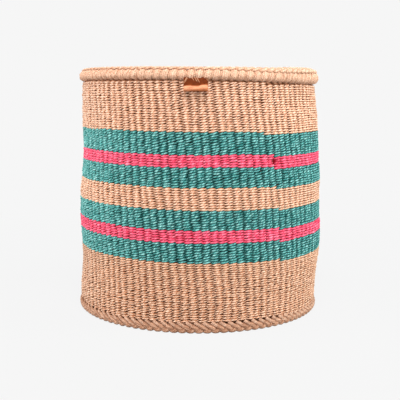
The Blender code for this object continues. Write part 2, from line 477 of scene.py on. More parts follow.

# Sisal: the streaks' part in the tone and its usual value, how rare a hair is, how far the painted
# shade in the seam between two plies reaches, and the powers that make the painted shade's tint
# milder
STREAK_SHARE = 0.6
STREAK_USUAL = 0.295
HAIR_LEAST = 0.66
PLY_SEAM = 0.3
HALF_SHADE_POWER = 0.25
PLY_SEAM_POWER = 0.17

# Leather: how far its bands of colour and painted shade wander, tilt and bend up near its sides
BAND_WANDER = 0.08
BAND_TILT = 2.5
BAND_BEND = -0.04
BAND_BEND_ZONE = (2.6 * MM, 3.8 * MM)
BAND_BEND_END = 0.37


def add_node(tree, kind, settings=None, **inputs):
    """Adds a shader node. Each input is a value or another node's output."""
    node = tree.nodes.new(kind)
    for name, value in (settings or {}).items():
        setattr(node, name, value)
    for name, value in inputs.items():
        socket = node.inputs[int(name[1:]) if name[1:].isdigit() else name.replace("_", " ")]
        if isinstance(value, bpy.types.NodeSocket):
            tree.links.new(value, socket)
        else:
            socket.default_value = value
    return node


def math_node(tree, operation, a, b=0.5, c=0.5):
    node = add_node(tree, "ShaderNodeMath", {"operation": operation}, i0=a, i1=b, i2=c)
    return node.outputs[0]


def weighted(tree, *parts):
    """The sum of values times their weights."""
    total = 0.0
    for value, weight in parts:
        total = math_node(tree, "MULTIPLY_ADD", value, weight, total)
    return total


def noise(tree, vector, scale, detail, roughness):
    """Noise whose scale differs from axis to axis."""
    vector = add_node(tree, "ShaderNodeVectorMath", {"operation": "MULTIPLY"}, i0=vector, i1=scale)
    inputs = {"Vector": vector.outputs[0], "Scale": 1.0, "Detail": detail, "Roughness": roughness}
    return add_node(tree, "ShaderNodeTexNoise", **inputs).outputs["Fac"]


def attribute(tree, name, output="Fac"):
    return add_node(tree, "ShaderNodeAttribute", {"attribute_name": name}).outputs[output]


def ramp(tree, factor, *stops):
    """A colour ramp through (place, linear colour) stops."""
    node = add_node(tree, "ShaderNodeValToRGB", Fac=factor)
    elements = node.color_ramp.elements
    while len(elements) < len(stops):
        elements.new(0.5)
    for element, (place, colour) in zip(elements, stops):
        element.position = place
        element.color = (*colour, 1)
    return node.outputs["Color"]


def mixed(tree, factor, a, b, blend="MIX"):
    node = add_node(tree, "ShaderNodeMix", {"data_type": "RGBA", "blend_type": blend})
    for index, value in {0: factor, 6: a, 7: b}.items():
        if isinstance(value, bpy.types.NodeSocket):
            tree.links.new(value, node.inputs[index])
        else:
            node.inputs[index].default_value = value if index == 0 else (*value, 1)
    return node.outputs[2]


def tinted(tree, colour, tint):
    return mixed(tree, 1.0, colour, tint, "MULTIPLY")


def surfaced(tree, shader, colour, height, strength, distance):
    tree.links.new(colour, shader.inputs["Base Color"])
    bump = add_node(tree, "ShaderNodeBump", Strength=strength, Distance=distance, Height=height)
    tree.links.new(bump.outputs["Normal"], shader.inputs["Normal"])


def new_material(name):
    material = bpy.data.materials.new(name)
    material.use_nodes = True
    tree = material.node_tree
    return material, tree, tree.nodes["Principled BSDF"]


def linear(red, green, blue):
    """A colour given as 0 to 255 display values, as linear light."""
    values = [v / 255 for v in (red, green, blue)]
    return tuple(v / 12.92 if v <= 0.04045 else ((v + 0.055) / 1.055) ** 2.4 for v in values)


def sisal(
    name, dark, middle, light, hair, hair_amount, deep, plies=2, spread=0.19, patchy=0.5, shine=0.06
):
    """Twisted plant fibre with streaks, plies and odd hairs, with painted shade where it lies deep
    and in the seams between its plies. Its colours are display values, and deep, the painted shade's
    tint, is a linear factor.
    """
    material, tree, shader = new_material(name)
    dark, middle, light, hair = (linear(*colour) for colour in (dark, middle, light, hair))
    fibre = attribute(tree, "fibre", "Vector")
    streaks = noise(tree, fibre, *STREAKS)
    patches = noise(tree, fibre, *PATCHES)
    tone = weighted(tree, (streaks, STREAK_SHARE), (patches, patchy))
    usual = STREAK_USUAL + patchy / 2
    colour = ramp(tree, tone, (usual - spread, dark), (usual, middle), (usual + spread, light))
    few = math_node(tree, "GREATER_THAN", noise(tree, fibre, *HAIRS), HAIR_LEAST)
    colour = mixed(tree, math_node(tree, "MULTIPLY", few, hair_amount), colour, hair)
    # Painted shade: the colour is tinted towards deep where the depth attribute says the strand lies
    # deep
    half_painted_shade = tuple(v**HALF_SHADE_POWER for v in deep)
    tint = ramp(tree, attribute(tree, "depth"), (0, WHITE), (0.5, half_painted_shade), (1, deep))
    colour = tinted(tree, colour, tint)
    # Painted shade in the seams between the plies, from the same tint
    girth = add_node(tree, "ShaderNodeSeparateXYZ", i0=fibre)
    place = math_node(tree, "ARCTAN2", girth.outputs[1], girth.outputs[0])
    ply = math_node(tree, "COSINE", math_node(tree, "MULTIPLY", place, float(plies)))
    ply = math_node(tree, "MULTIPLY_ADD", ply, 0.5, 0.5)
    seam = add_node(tree, "ShaderNodeMapRange", Value=ply, From_Max=PLY_SEAM).outputs["Result"]
    between = tuple(v**PLY_SEAM_POWER for v in deep)
    colour = tinted(tree, colour, mixed(tree, seam, between, WHITE))
    height = weighted(tree, (streaks, 0.5), (ply, 0.4))
    surfaced(tree, shader, colour, height, 0.7, 0.35 * MM)
    rough = math_node(tree, "MULTIPLY_ADD", streaks, 0.25, 0.66)
    tree.links.new(rough, shader.inputs["Roughness"])
    shader.inputs["Specular IOR Level"].default_value = shine
    return material


# Each yarn's dark, middle and light colour, its hairs' colour and amount, and the tint of its
# painted shade
YARNS = {
    "natural": sisal(
        "natural_sisal", (208, 159, 132), (235, 200, 176), (243, 211, 192),
        (190, 120, 84), 0.35, (0.16, 0.03, 0.006),
    ),
    # The lower band's yarn: a darker copy of the natural yarn, painted shade towards the bottom of
    # the wall
    "shaded_natural": sisal(
        "shaded_natural_sisal", (196, 146, 118), (221, 186, 161), (233, 204, 182),
        (178, 108, 74), 0.35, (0.16, 0.03, 0.006),
    ),
    "teal": sisal(
        "teal_sisal", (18, 94, 90), (102, 186, 180), (188, 240, 234),
        (226, 220, 212), 0.3, (0.003, 0.012, 0.012), spread=0.11, patchy=0.25, shine=0.03,
    ),
    "pink": sisal(
        "pink_sisal", (214, 56, 86), (243, 106, 133), (250, 172, 189),
        (255, 200, 208), 0.30, (0.30, 0.02, 0.05),
    ),
    "rim": sisal(
        "rim_sisal", (195, 141, 112), (220, 179, 154), (232, 200, 176),
        (180, 118, 86), 0.45, (0.42, 0.30, 0.20), plies=3,
    ),
    "thread": sisal(
        "sewing_thread", (156, 104, 76), (188, 138, 106), (212, 166, 134),
        (140, 88, 60), 0.3, (0.6, 0.45, 0.35),
    ),
    "foot": sisal(
        "foot_sisal", (150, 112, 91), (191, 154, 131), (225, 192, 169),
        (130, 82, 56), 0.35, (0.22, 0.10, 0.055), plies=6,
    ),
    "warp": sisal(
        "warp_sisal", (150, 98, 68), (186, 134, 102), (212, 162, 130),
        (130, 84, 58), 0.35, (0.03, 0.015, 0.01),
    ),
}


# The wall's weft


def row_level(turns):
    """The height of a row's middle at the front, after so many turns of the spiral."""
    first = BANDS[0][2]
    last = ROW_COUNT - BANDS[-1][2]
    lag = 0.5 - SEAM_WARP / WARP_COUNT
    places = (0, first, last, ROW_COUNT)
    levels = (FIRST_ROW_MIDDLE, first - lag, last - lag, ROW_COUNT - LAST_ROW_ROOM)
    return WALL_BOTTOM + ROW_HEIGHT * np.interp(turns, places, levels)


def stitch(swing, yarn):
    """How far out a weft strand lies and how far it crosses, its breadth in rows, half its depth."""
    outward = np.tanh(STITCH_FULLNESS * np.cos(swing)) / np.tanh(STITCH_FULLNESS)
    crossing = np.sin(swing) ** 2
    breadth = BREADTH_SHARE - (BREADTH_SHARE - CROSSING_BREADTH_SHARE[yarn]) * crossing
    depth = STRAND_HALF_DEPTH + (CROSSING_HALF_DEPTH - STRAND_HALF_DEPTH) * crossing
    return outward, crossing, breadth, depth


def weft_shade(swing, outward, yarn):
    """The painted shade on a weft strand where it lies deep, vertex by vertex."""
    side = np.cos(ring_turn())[None, :]
    lean = np.sin(swing)[:, None]
    gap = np.clip(lean * np.sign(side), 0, 1) ** 2
    groove = np.clip(GROOVE_START - GROOVE_FALL * abs(outward), 0, 1)[:, None]
    edges = side**2 * (EDGE_SHADE[yarn] * (1 - lean**2) + GAP_SHADE * gap)
    return np.clip(edges + GROOVE_SHADE[yarn] * groove, 0, 1)


def weft_strand(first_turn, last_turn, partner, yarn):
    """One of the two strands that twist round each warp in turn, over a band's rows."""
    steps = round((last_turn - first_turn) * WARP_COUNT * POINTS_PER_WARP)
    turns = np.linspace(first_turn, last_turn, steps + 1)
    warp = turns * WARP_COUNT + SEAM_WARP
    swing = pi * (warp - partner)
    level = row_level(turns)
    outward, crossing, breadth, depth = stitch(swing, yarn)

    mid_depth = WALL_THICKNESS / 2
    reach = mid_depth - STRAND_HALF_DEPTH + stitch_reach.at(warp, level)
    aside = rib_wander.at(warp, level) + stitch_side.at(warp, level) * crossing
    angle = front_angle(warp + aside) + rib_lean(level)
    radius = wall_radius(level) - mid_depth + reach * outward
    radius = radius + wall_reach(warp, level) + side_reach(angle, level)

    from_foot = np.clip(height_share(level) / FOOT_RISE_REACH, 0, 1)
    rise = FOOT_RISE_SHARE + (STITCH_RISE_SHARE[yarn] - FOOT_RISE_SHARE) * from_foot
    tilt = 1 + stitch_tilt.at(warp, level)
    height = level + rise * ROW_HEIGHT * tilt * np.sin(swing)
    height += row_shift(angle) * shift_share(level)
    height += row_wander.at(warp, level) + stitch_level.at(warp, level)
    height -= foot_drop(angle) * (1 - shift_share(level)) ** 2
    height -= ROW_SAG * np.exp(-(((level - ROW_SAG_HEIGHT) / ROW_SAG_WIDTH) ** 2))

    half_row = ROW_HEIGHT / 2 * (1 + stitch_size.at(warp, level))
    # Painted shade on the strand: less at the left, and more in the pucker's hollow
    left_shade_share = 1 - LEFT_SHADE_CUT * leftness(angle) ** 2
    deep = weft_shade(swing, outward, yarn) * left_shade_share[:, None]
    deep = np.clip(deep + PUCKER_SHADE * pucker_share(warp, level)[:, None], 0, 1)
    return tube(around(radius, angle, height), UP, half_row * breadth, depth, deep)


def wall():
    turn = 0
    last = len(BANDS) - 1
    early = (TOP_SEAM_WARP - SEAM_WARP) / WARP_COUNT
    for i, (name, yarn, rows) in enumerate(BANDS):
        first_turn = turn + (early if i == last else 0)
        turn += rows
        last_turn = turn + (early if i == last - 1 else 0)
        for partner, letter in enumerate("ab"):
            strand = weft_strand(first_turn, last_turn, partner, yarn)
            strand_piece(f"{name}_{letter}", [strand], yarn, name)


# The warps, from the base, up the wall and into the rim

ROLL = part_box("rim_wrap")
ROLL_OUTER = ROLL[1].x
ROLL_HALF_HEIGHT = (ROLL[1].z - ROLL[0].z) / 2
ROLL_MIDDLE = (ROLL[1].z + ROLL[0].z) / 2
ROLL_INNER = float(distances(vertices_of("rim_wrap")).min())
ROLL_HALF_WIDTH = (ROLL_OUTER - ROLL_INNER) / 2
ROLL_RADIUS = (ROLL_OUTER + ROLL_INNER) / 2
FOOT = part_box("foot_braid")
FOOT_OUTER = FOOT[1].x
FOOT_TOP = FOOT[1].z
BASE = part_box("base_weave")
BASE_EDGE = BASE[1].x
BASE_EDGE_LEVEL = float(vertices_of("base_weave")[:, 2].min()) + WALL_THICKNESS / 2
BASE_CROWN = BASE[1].z - BASE_EDGE_LEVEL - WALL_THICKNESS / 2

# The base turns up from this far inside its edge to this far above the wall's bottom
CORNER_ROOM = 3 * MM
CORNER_START = BASE_EDGE - CORNER_ROOM
CORNER_TOP = WALL_BOTTOM + CORNER_ROOM

# A warp's points on the base, in the corner, up the wall and into the rim
WARP_POINTS = (14, 8, 60, 6)

# In the rim a warp leans over this many others
WARP_RIM_LEAN = 1.6
WARP_HALF_SIZES = (3.0 * MM, 0.8 * MM)

# Painted shade on the warps where they lie behind each yarn, fading to the last number under the
# rim, and at their edges
WARP_SHADE = {"natural": 0.75, "shaded_natural": 0.75, "teal": 1.0, "pink": 0.75}
WARP_EDGE_SHADE = 0.6
WARP_FADE = 2.2 * MM
WARP_END_SHADE = 0.1

# Every eighth warp starts at this share of the base's radius, every fourth one further out...
SPOKE_STARTS = ((8, 0.06), (4, 0.15), (2, 0.27), (1, 0.52))


def base_level(radius):
    """The middle of the base's thickness, which rises a little towards its centre."""
    return BASE_EDGE_LEVEL + BASE_CROWN * (1 - (radius / BASE_EDGE) ** 2)


def bend(start, end, count):
    """Points of a round turn from level at the start to upright at the end, between the two."""
    turn = np.linspace(0, pi / 2, count + 2)[1:-1]
    across = start[0] + (end[0] - start[0]) * np.sin(turn)
    up = start[1] + (end[1] - start[1]) * (1 - np.cos(turn))
    return across, up


def warp_line(index):
    """A warp's radii, angles and heights, from the base to the middle of the rim's roll."""
    on_base, in_corner, on_wall, in_rim = WARP_POINTS
    inner = next(share for step, share in SPOKE_STARTS if index % step == 0) * BASE_EDGE
    base_radii = np.linspace(inner, CORNER_START, on_base)
    levels = np.linspace(CORNER_TOP, WALL_TOP, on_wall)
    warp = np.full(on_wall, float(index))
    wall_radii = wall_radius(levels) - WALL_THICKNESS / 2 + wall_reach(warp, levels)
    wall_angles = front_angle(index + rib_wander.at(warp, levels)) + rib_lean(levels)
    wall_heights = levels + row_shift(wall_angles) * shift_share(levels)
    start = (CORNER_START, base_level(CORNER_START))
    corner, corner_heights = bend(start, (wall_radii[0], levels[0]), in_corner)
    wall_radii = wall_radii + side_reach(wall_angles, levels)

    turn_in = np.linspace(0, 1, in_rim + 1)[1:]
    rim_radii = wall_radii[-1] + (ROLL_RADIUS - wall_radii[-1]) * turn_in
    rim_angles = wall_angles[-1] + front_angle(WARP_RIM_LEAN) * turn_in**2
    rim_heights = wall_heights[-1] + (ROLL_MIDDLE - WALL_TOP) * np.sin(turn_in * pi / 2)

    below = np.full(on_base + in_corner, wall_angles[0])
    radii = np.concatenate([base_radii, corner, wall_radii, rim_radii])
    angles = np.concatenate([below, wall_angles, rim_angles])
    heights = np.concatenate([base_level(base_radii), corner_heights, wall_heights, rim_heights])
    return radii, angles, heights


def warps():
    tubes = []
    band_tops = np.cumsum([rows for _, _, rows in BANDS])
    band_shades = np.array([WARP_SHADE[yarn] for _, yarn, _ in BANDS])
    for index in range(WARP_COUNT):
        radii, angles, heights = warp_line(index)
        aside = around(1.0, angles + pi / 2, 0.0)
        row = (heights - WALL_BOTTOM) / ROW_HEIGHT
        band = np.clip(np.searchsorted(band_tops, row), 0, len(BANDS) - 1)
        # Painted shade on the warp behind the weft, fading out under the rim
        behind_weft_shade = band_shades[band] * np.clip((WALL_TOP - heights) / WARP_FADE, WARP_END_SHADE, 1)
        deep = strand_shade(behind_weft_shade, WARP_EDGE_SHADE)
        points = around(radii, angles, heights)
        tubes.append(tube(points, aside, *WARP_HALF_SIZES, deep))
    strand_piece("warps", tubes, "warp", "rim_warp_core")


# The rim: a wrap round the warp ends, grouped rib by rib, and a plait along its crest

WRAPS_PER_WARP = 4
WRAP_POINTS = 20
WRAP_LAY = 4 * MM
WRAP_HALF_DEPTH = 0.75 * MM
WRAP_BULGE = 0.3 * MM
WRAP_TOP_BULGE = 0.14 * MM
WRAP_SLANT = 0.10
WRAP_GROUPING = 0.112
WRAP_UNEVEN = 0.18 * MM
# Painted shade on the wrap: between the ribs, and at each wrap's edges
WRAP_SHADE = 0.3
WRAP_EDGE_SHADE = 0.5

# A wrap's breadth as a share of its spacing: usual, swelling over each rib, and random
WRAP_BREADTH_SHARE = 1.12
WRAP_BREADTH_SWELL = 0.08
WRAP_BREADTH_UNEVEN = 0.1

# The roll is flatter on top, and squarer below on its outer side
ROLL_FLAT_TOP = 0.3 * MM
ROLL_SQUARE = 0.22

# At the right the rim stands taller, its roll hangs lower and its crest leans out: how far, where
# and how widely
RIM_RISE = (1.7 * MM, radians(56), radians(30))
ROLL_DROOP = (1.7 * MM, radians(58), radians(20))
CREST_LEAN = (radians(44), radians(48), radians(27))

# The crest's plait
CREST_POINTS_PER_WARP = 8
CREST_LAY = 5 * MM
CREST_HALF_BREADTH = 1.3 * MM
CREST_HALF_DEPTH = 0.8 * MM
CREST_SWING = 1.7 * MM
CREST_LIFT = 0.55 * MM
# Painted shade on the plait: where it dips, and at its edges
CREST_SHADE = 0.7
CREST_EDGE_SHADE = 0.45


def rim_reach(warp, angle):
    """How far the rim stands out from the round."""
    return dents.at(warp, WALL_TOP) + side_reach(angle, ROLL_MIDDLE)


def rim_wrap():
    turns = WARP_COUNT * WRAPS_PER_WARP
    steps = np.arange(turns * WRAP_POINTS) / WRAP_POINTS
    climb = 2 * pi * steps
    warp = steps / WRAPS_PER_WARP + 0.5
    rib = np.cos(2 * pi * warp)
    above = np.clip(np.sin(climb), 0, 1)
    grouped = warp - WRAP_GROUPING * np.sin(2 * pi * warp) / (2 * pi)
    angle = front_angle(grouped + WRAP_SLANT * np.sin(climb))
    bulge = (WRAP_BULGE + WRAP_TOP_BULGE * above) * rib
    bulge += rng.normal(size=len(steps)) * WRAP_UNEVEN
    below = np.clip(-np.sin(climb), 0, 1) * np.clip(np.cos(climb), 0, 1)
    across = (ROLL_HALF_WIDTH - WRAP_HALF_DEPTH + bulge) * (1 + ROLL_SQUARE * below)
    tall = swell(angle, *RIM_RISE)
    droop = swell(angle, *ROLL_DROOP)
    up = ROLL_HALF_HEIGHT - WRAP_HALF_DEPTH + bulge - ROLL_FLAT_TOP * above**2 + (tall + droop) / 2
    radius = ROLL_RADIUS + across * np.cos(climb) + rim_reach(warp, angle)
    height = ROLL_MIDDLE + up * np.sin(climb) + (tall - droop) / 2 + row_shift(angle)
    along = around(1.0, angle + pi / 2, 0.0)
    spacing = 2 * pi * ROLL_RADIUS / turns
    uneven = WRAP_BREADTH_UNEVEN * rng.normal(size=len(steps))
    breadth = spacing / 2 * (WRAP_BREADTH_SHARE + WRAP_BREADTH_SWELL * rib + uneven)
    deep = strand_shade(WRAP_SHADE * np.clip(-rib, 0, 1) ** 2, WRAP_EDGE_SHADE)
    place = around(radius, angle, height)
    strand = tube(place, along, breadth, WRAP_HALF_DEPTH, deep, closed=True, lay=WRAP_LAY)
    strand_piece("rim_wrap_strand", [strand], "rim", "rim_wrap")


def plait_turns(points_per_warp):
    """A three-strand plait as one strand, three times round: its warps, places aside and lifts."""
    count = 3 * WARP_COUNT * points_per_warp
    warp = np.arange(count) / points_per_warp
    phase = 2 * pi * warp / 3
    return warp, np.sin(phase), -np.sin(2 * phase)


def rim_plait():
    warp, side, lift = plait_turns(CREST_POINTS_PER_WARP)
    angle = front_angle(warp)
    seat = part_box("rim_plait")[1].z - CREST_LIFT - CREST_HALF_DEPTH - ROLL_MIDDLE
    place = pi / 2 - swell(angle, *CREST_LEAN) - CREST_SWING * side / seat
    out = seat + CREST_LIFT * lift
    radius = ROLL_RADIUS + out * np.cos(place) + rim_reach(warp, angle)
    height = ROLL_MIDDLE + out * np.sin(place) + swell(angle, *RIM_RISE) + row_shift(angle)
    points = around(radius, angle, height)
    outward = around(np.cos(place), angle, np.sin(place))
    across = np.cross(outward, ahead_on_ring(points))
    deep = strand_shade(CREST_SHADE * np.clip(-lift, 0, 1), CREST_EDGE_SHADE)
    sizes = (CREST_HALF_BREADTH, CREST_HALF_DEPTH)
    strand = tube(points, across, *sizes, deep, closed=True, lay=CREST_LAY)
    strand_piece("rim_plait_strand", [strand], "rim", "rim_plait")


# The foot: a plait that stands under the wall and turns in below

FOOT_POINTS_PER_WARP = 8
FOOT_LAY = 34 * MM
FOOT_HALF_BREADTH = 1.75 * MM
FOOT_HALF_DEPTH = 1.35 * MM
FOOT_LIFT = 0.9 * MM
FOOT_PROUD = 0.7 * MM
FOOT_PLAIT_TOP = 8.0 * MM
FOOT_PLAIT_BOTTOM = -0.7 * MM
FOOT_TURN_RADIUS = 2.9 * MM
FOOT_TURN_IN = radians(46)
FOOT_LEFT_RISE = 1.2 * MM

# The cord that the plait is worked over
FOOT_CORE_RADIUS = 2.5 * MM
FOOT_CORE_RAISE = 1.2 * MM
FOOT_CORE_POINTS = 300
# Painted shade on the cord, which lies deep behind the plait
FOOT_CORE_SHADE = 0.9

# The plait's painted shade: where it dips, at its edges, and at the front more than at both sides
FOOT_DIP_SHADE = 0.6
FOOT_EDGE_SHADE = 0.6
FOOT_FRONT_SHADE = 0.33

# The warps' lower ends, which slant from under the wall into the plait
WARP_END_POINTS = 7
WARP_END_SLANT = 0.8
WARP_END_REACH = 1.7 * MM
WARP_END_SUNK = 0.75 * MM
WARP_END_BEND = 0.5 * MM
WARP_END_HALF_SIZES = (1.5 * MM, 0.8 * MM)
# Painted shade at their edges
WARP_END_EDGE_SHADE = 0.7


def foot_surface(down):
    """Radius, height and facing of the foot's face, so far down from the plait's top."""
    straight = FOOT_PLAIT_TOP - FOOT_PLAIT_BOTTOM - FOOT_TURN_RADIUS
    turn = np.clip(down - straight, 0, None) / FOOT_TURN_RADIUS
    height = FOOT_PLAIT_TOP - np.minimum(down, straight) - FOOT_TURN_RADIUS * np.sin(turn)
    radius = FOOT_OUTER + FOOT_PROUD - FOOT_TURN_RADIUS * (1 - np.cos(turn))
    return radius, height, turn


def foot_strand():
    warp, side, lift = plait_turns(FOOT_POINTS_PER_WARP)
    angle = front_angle(warp) + RIB_TURN
    lowest = FOOT_PLAIT_TOP - FOOT_PLAIT_BOTTOM - FOOT_TURN_RADIUS * (1 - FOOT_TURN_IN)
    highest = FOOT_HALF_BREADTH + foot_drop(angle)
    middle, swing = (highest + lowest) / 2, (lowest - highest) / 2
    radius, height, turn = foot_surface(middle - swing * side)
    sunk_by = FOOT_HALF_DEPTH + FOOT_LIFT * (1 - lift)
    radius = radius + side_reach(angle, FOOT_TOP) - sunk_by * np.cos(turn)
    height = height + sunk_by * np.sin(turn) + FOOT_LEFT_RISE * leftness(angle) ** 3
    points = around(radius, angle, height)
    outward = around(np.cos(turn), angle, -np.sin(turn))
    across = np.cross(outward, ahead_on_ring(points))
    dips = FOOT_DIP_SHADE * np.clip(-lift, 0, 1)
    deep = strand_shade(dips, FOOT_EDGE_SHADE, THICK_SIDES)
    deep = deep + (1 - deep) * FOOT_FRONT_SHADE * np.cos(angle)[:, None] ** 2
    sizes = (FOOT_HALF_BREADTH, FOOT_HALF_DEPTH)
    return tube(points, across, *sizes, deep, THICK_SIDES, closed=True, lay=FOOT_LAY)


def foot_core():
    angle = 2 * pi * np.arange(FOOT_CORE_POINTS) / FOOT_CORE_POINTS
    radius = FOOT_OUTER + FOOT_PROUD - FOOT_CORE_RADIUS - 2 * FOOT_LIFT
    radius = radius + side_reach(angle, FOOT_TOP)
    points = around(radius, angle, FOOT_CORE_RADIUS + FOOT_CORE_RAISE)
    look = (FOOT_CORE_RADIUS, FOOT_CORE_RADIUS, FOOT_CORE_SHADE, THICK_SIDES)
    return tube(points, UP, *look, closed=True, lay=FOOT_LAY)


def warp_end(index):
    share = np.linspace(0, 1, WARP_END_POINTS)
    angle = front_angle(index + 0.5 + WARP_END_SLANT * (share - 0.5)) + RIB_TURN
    height = WALL_BOTTOM + WARP_END_REACH * (1 - 2 * share) - foot_drop(angle)
    radius = FOOT_OUTER - WARP_END_SUNK - WARP_END_BEND * (2 * share - 1) ** 2
    points = around(radius + side_reach(angle, FOOT_TOP), angle, height)
    across = np.cross(around(1.0, angle, 0.0), np.gradient(points, axis=0))
    deep = strand_shade(0.0, WARP_END_EDGE_SHADE, THICK_SIDES)
    return tube(points, across, *WARP_END_HALF_SIZES, deep, THICK_SIDES)


def foot():
    tubes = [foot_strand(), foot_core(), *(warp_end(index) for index in range(WARP_COUNT))]
    strand_piece("foot_braid_strand", tubes, "foot", "foot_braid")


# The base: the same twining, laid flat in a spiral that climbs the corner up to the wall

BASE_ROW = 2.15 * MM
BASE_POINTS_PER_SPOKE = 5
CORNER_ROWS = 2.6
BASE_EYE = 0.35


def base_profile(run):
    """The middle of the weave's thickness: radius, height and slope, so far out from the centre."""
    across = float(wall_radius(CORNER_TOP)) - WALL_THICKNESS / 2 - CORNER_START
    up = CORNER_TOP - base_level(CORNER_START)
    turn = np.clip((run - CORNER_START) / ((across + up) / 2), 0, pi / 2)
    flat = np.minimum(run, CORNER_START)
    radius = flat + across * np.sin(turn)
    height = base_level(flat) + up * (1 - np.cos(turn))
    return radius, height, turn


def base_strand(partner):
    """One of the base's two strands, which starts at the eye in its centre."""
    runs = []
    angles = []
    swings = []
    swing = pi * partner
    for turn in range(round(CORNER_START / BASE_ROW + CORNER_ROWS) + 1):
        share = turn * BASE_ROW / BASE_EDGE
        reached = [step for step, start in SPOKE_STARTS if share >= start]
        spokes = WARP_COUNT / min(reached, default=SPOKE_STARTS[0][0])
        steps = int(spokes * BASE_POINTS_PER_SPOKE)
        part = np.arange(0 if turn else BASE_EYE * steps, steps) / steps
        runs.append((turn + part) * BASE_ROW)
        angles.append(2 * pi * part)
        swings.append(swing + pi * spokes * part)
        swing += pi * spokes
    swing = np.concatenate(swings)
    angle = np.concatenate(angles) + front_angle(0.5) + RIB_TURN
    run = np.concatenate(runs) + STITCH_RISE_SHARE["natural"] * BASE_ROW * np.sin(swing)
    outward, _, breadth, depth = stitch(swing, "natural")
    radius, height, slope = base_profile(run)
    reach = (WALL_THICKNESS / 2 - STRAND_HALF_DEPTH) * outward
    points = around(radius + reach * np.sin(slope), angle, height - reach * np.cos(slope))
    across = around(np.cos(slope), angle, np.sin(slope))
    deep = weft_shade(swing, outward, "natural")
    return tube(points, across, BASE_ROW / 2 * breadth, depth, deep)


def base():
    for partner, letter in enumerate("ab"):
        strand = base_strand(partner)
        name = f"base_weft_{letter}"
        strand_piece(name, [strand], "natural", "base_weave")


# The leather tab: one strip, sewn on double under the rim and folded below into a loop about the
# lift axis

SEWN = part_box("tab_sewn_end")
LIFT_AXIS = Vector(frame["joints"][0]["pos_m"])
TAB_LEAN = radians(14)
TAB_HALF_WIDTH = (SEWN[1].x - SEWN[0].x) / 2
TAB_TILT = 0.02
LEATHER_HALF_THICKNESS = 0.55 * MM
LEATHER_EDGE_RADIUS = 0.3 * MM
LEATHER_EDGE_POINTS = 4
TAB_COLUMNS = 30
TAB_STEPS = 4

# How the leather is out of true: waves, a finer ripple beyond the sewn end, a hollow, uneven sides
LEATHER_WAVE = 0.14 * MM
LEATHER_RIPPLE = 0.13 * MM
LEATHER_HOLLOW = 0.25 * MM
LEATHER_UNEVEN = 0.012

# The strip's middle line, in mm out and up from the lift axis: down the front, round and up
TAB_FRONT = ((-1.75, 5.3), (-1.15, 3.6), (-0.75, 2.0), (-0.58, 0.6))
TAB_LOOP = (
    (-0.5, -0.4), (-0.1, -1.0), (0.65, -1.85), (1.17, -2.6), (1.25, -3.25), (0.95, -3.95),
    (0.35, -4.35), (-0.3, -4.45), (-0.95, -4.25), (-1.42, -3.75), (-1.62, -3.1), (-1.66, -2.0),
    (-1.66, -0.6),
)
TAB_BACK = ((-1.66, 0.5), (-1.75, 2.0), (-2.3, 4.6))

# Stitches of sisal over the sewn end, as x and z of both ends in mm
TAB_STITCHES = (
    ((-11.6, 187.2), (-8.2, 191.6)),
    ((-10.9, 188.9), (-8.9, 192.0)),
    ((-5.6, 191.8), (-3.9, 189.7)),
    ((-3.2, 191.4), (-1.2, 188.2)),
    ((-1.8, 191.6), (0.3, 187.9)),
    ((3.4, 192.6), (7.3, 190.4)),
    ((5.2, 190.9), (7.0, 188.6)),
)
STITCH_POINTS = 9
STITCH_RADIUS = 0.26 * MM
STITCH_ACROSS = (1.0, 0.0, 0.3)
STITCH_LAY = 3 * MM
STITCH_PROUD = 0.75 * MM

# The leather's face there, behind the lift axis, which leans back above a height
SEWN_FACE = 0.75 * MM
SEWN_FACE_LEAN = 0.12
SEWN_FACE_HEIGHT = 189 * MM


def smooth_line(points, steps):
    """A rounded line through points, with the given number of steps between each pair."""
    points = np.array(points, float)
    padded = np.array([2 * points[0] - points[1], *points, 2 * points[-1] - points[-2]])
    line = []
    for i in range(1, len(padded) - 2):
        before, start, end, after = padded[i - 1 : i + 3]
        for share in np.arange(steps) / steps:
            a = 2 * start
            b = end - before
            c = 2 * before - 5 * start + 4 * end - after
            d = 3 * start - before - 3 * end + after
            line.append((a + b * share + c * share**2 + d * share**3) / 2)
    line.append(points[-1])
    return np.array(line)


def rounded_section():
    """The strip's section: across its width and through its thickness."""
    wide = TAB_HALF_WIDTH - LEATHER_EDGE_RADIUS
    thick = LEATHER_HALF_THICKNESS - LEATHER_EDGE_RADIUS
    section = []
    for sign in (1, -1):
        columns = np.linspace(-sign * wide, sign * wide, TAB_COLUMNS)
        section += [(x, sign * LEATHER_HALF_THICKNESS) for x in columns]
        for turn in np.linspace(0, pi, LEATHER_EDGE_POINTS + 2)[1:-1]:
            corner = thick if turn < pi / 2 else -thick
            out = wide + LEATHER_EDGE_RADIUS * sin(turn)
            section.append((sign * out, sign * (corner + LEATHER_EDGE_RADIUS * cos(turn))))
    return np.array(section)


def tab_line():
    turned = np.array([[cos(TAB_LEAN), sin(TAB_LEAN)], [-sin(TAB_LEAN), cos(TAB_LEAN)]])
    return smooth_line([*TAB_FRONT, *(np.array(TAB_LOOP) @ turned), *TAB_BACK], TAB_STEPS) * MM


